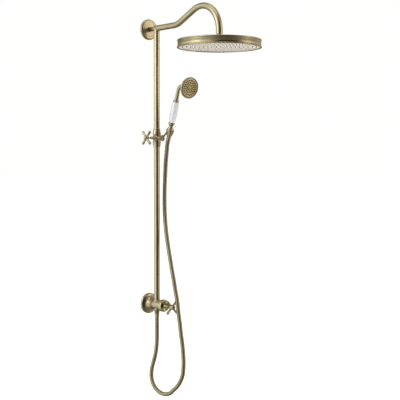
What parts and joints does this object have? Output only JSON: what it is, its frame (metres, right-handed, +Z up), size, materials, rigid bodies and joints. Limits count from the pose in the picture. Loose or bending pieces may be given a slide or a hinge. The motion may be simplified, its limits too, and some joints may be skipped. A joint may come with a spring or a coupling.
{
  "type": "rainfall shower column",
  "caption": "Wall-hung shower column with a swan-neck arm and rain head, a sliding hand-shower holder, a porcelain-handled hand shower, its hose, and a cross-handle diverter.",
  "frame": {"origin": "centre of the lower rose's back, in the plane of the wall, where the water pipe comes out", "axes": "+Z up along the riser, +Y into the wall, +X along the wall to the side of the hand shower"},
  "size_m": [0.304, 0.572, 1.4806],
  "materials": {
    "brass": "brushed antique",
    "porcelain": "gloss glaze",
    "spray_plate": "satin plated",
    "silicone": "matte",
    "rubber": "matte",
    "nylon": "natural",
    "ceramic_disc": "ground",
    "fibre": "natural",
    "steel": "zinc plated",
    "hose_metal": "antique spiral"
  },
  "bodies": {
    "column": {"upper_wall_plate": "steel", "upper_wall_rose": "brass", "upper_stem": "brass", "stem_grub_screw": "steel", "riser_tee": "brass", "tee_o_ring": "rubber", "riser_pipe": "brass", "riser_washer": "fibre", "arm_nipple": "brass", "swan_neck_arm": "brass", "lower_wall_rose": "brass", "inlet_nipple": "brass", "inlet_washer": "fibre", "diverter_body": "brass", "cartridge_shell": "nylon", "gland_nut": "brass", "bonnet_ring": "brass", "outlet_collar": "brass", "hose_lower_nut": "brass", "hose_lower_washer": "rubber", "hose": "hose_metal"},
    "swivel": {"swivel_ball": "brass"},
    "rain_head": {"ball_seat": "nylon", "ball_nut": "brass", "head_shell": "brass", "head_rim_ring": "brass", "head_face_plate": "spray_plate", "head_nozzle_mat": "silicone", "head_gasket": "rubber", "head_chamber_plate": "nylon"},
    "diverter": {"ceramic_disc": "ceramic_disc", "diverter_spindle": "brass", "diverter_handle": "brass", "handle_screw": "steel", "handle_cap": "brass"},
    "carriage": {"slider_bush": "nylon"},
    "holder": {"slider_body": "brass", "clamp_pad": "nylon", "friction_washer": "nylon", "pivot_screw": "brass"},
    "clamp": {"clamp_screw": "steel", "clamp_knob": "brass", "knob_cap": "brass"},
    "cradle_arm": {"cradle": "brass"},
    "hose_end": {"hose_upper_nut": "brass", "hose_upper_washer": "rubber"},
    "hand_shower": {"handset_spigot": "brass", "handset_lower_collar": "brass", "grip_seal_lower": "rubber", "porcelain_grip": "porcelain", "grip_seal_upper": "rubber", "handset_upper_collar": "brass", "handset_inner_tube": "brass", "handset_neck": "brass", "handset_shell": "brass", "handset_gasket": "rubber", "handset_nozzle_mat": "silicone", "handset_face_plate": "brass", "handset_face_screw": "brass"}
  },
  "joints": [
    {"name": "head_spin", "type": "hinge", "parent": "column", "child": "swivel", "pos_m": [0, -0.42, 1], "axis": [0, 0, 1], "continuous": true},
    {"name": "head_tilt", "type": "hinge", "parent": "swivel", "child": "rain_head", "pos_m": [0, -0.42, 1], "axis": [1, 0, 0], "range_deg": [-12, 12]},
    {"name": "diverter_turn", "type": "hinge", "parent": "column", "child": "diverter", "pos_m": [0, -0.147, 0], "axis": [0, -1, 0], "range_deg": [-90, 90]},
    {"name": "holder_slide", "type": "slide", "parent": "column", "child": "carriage", "axis": [0, 0, 1], "range_m": [-0.4, 0.16], "deforming": ["hose"]},
    {"name": "holder_swivel", "type": "hinge", "parent": "carriage", "child": "holder", "pos_m": [0, -0.053, 0.645], "axis": [0, 0, 1], "range_deg": [-15, 30]},
    {"name": "clamp_turn", "type": "hinge", "parent": "holder", "child": "clamp", "pos_m": [-0.05, -0.053, 0.645], "axis": [-1, 0, 0], "range_deg": [0, 180]},
    {"name": "cradle_tilt", "type": "hinge", "parent": "holder", "child": "cradle_arm", "pos_m": [0.0275, -0.053, 0.645], "axis": [1, 0, 0], "range_deg": [-20, 25]},
    {"name": "handset_lift", "type": "slide", "parent": "cradle_arm", "child": "hose_end", "axis": [0, -0.314, 0.9494], "range_m": [0, 0.06]},
    {"name": "handset_spin", "type": "hinge", "parent": "hose_end", "child": "hand_shower", "pos_m": [0.03, -0.0891, 0.6452], "axis": [0, -0.314, 0.9494], "range_deg": [-90, 90]}
  ]
}
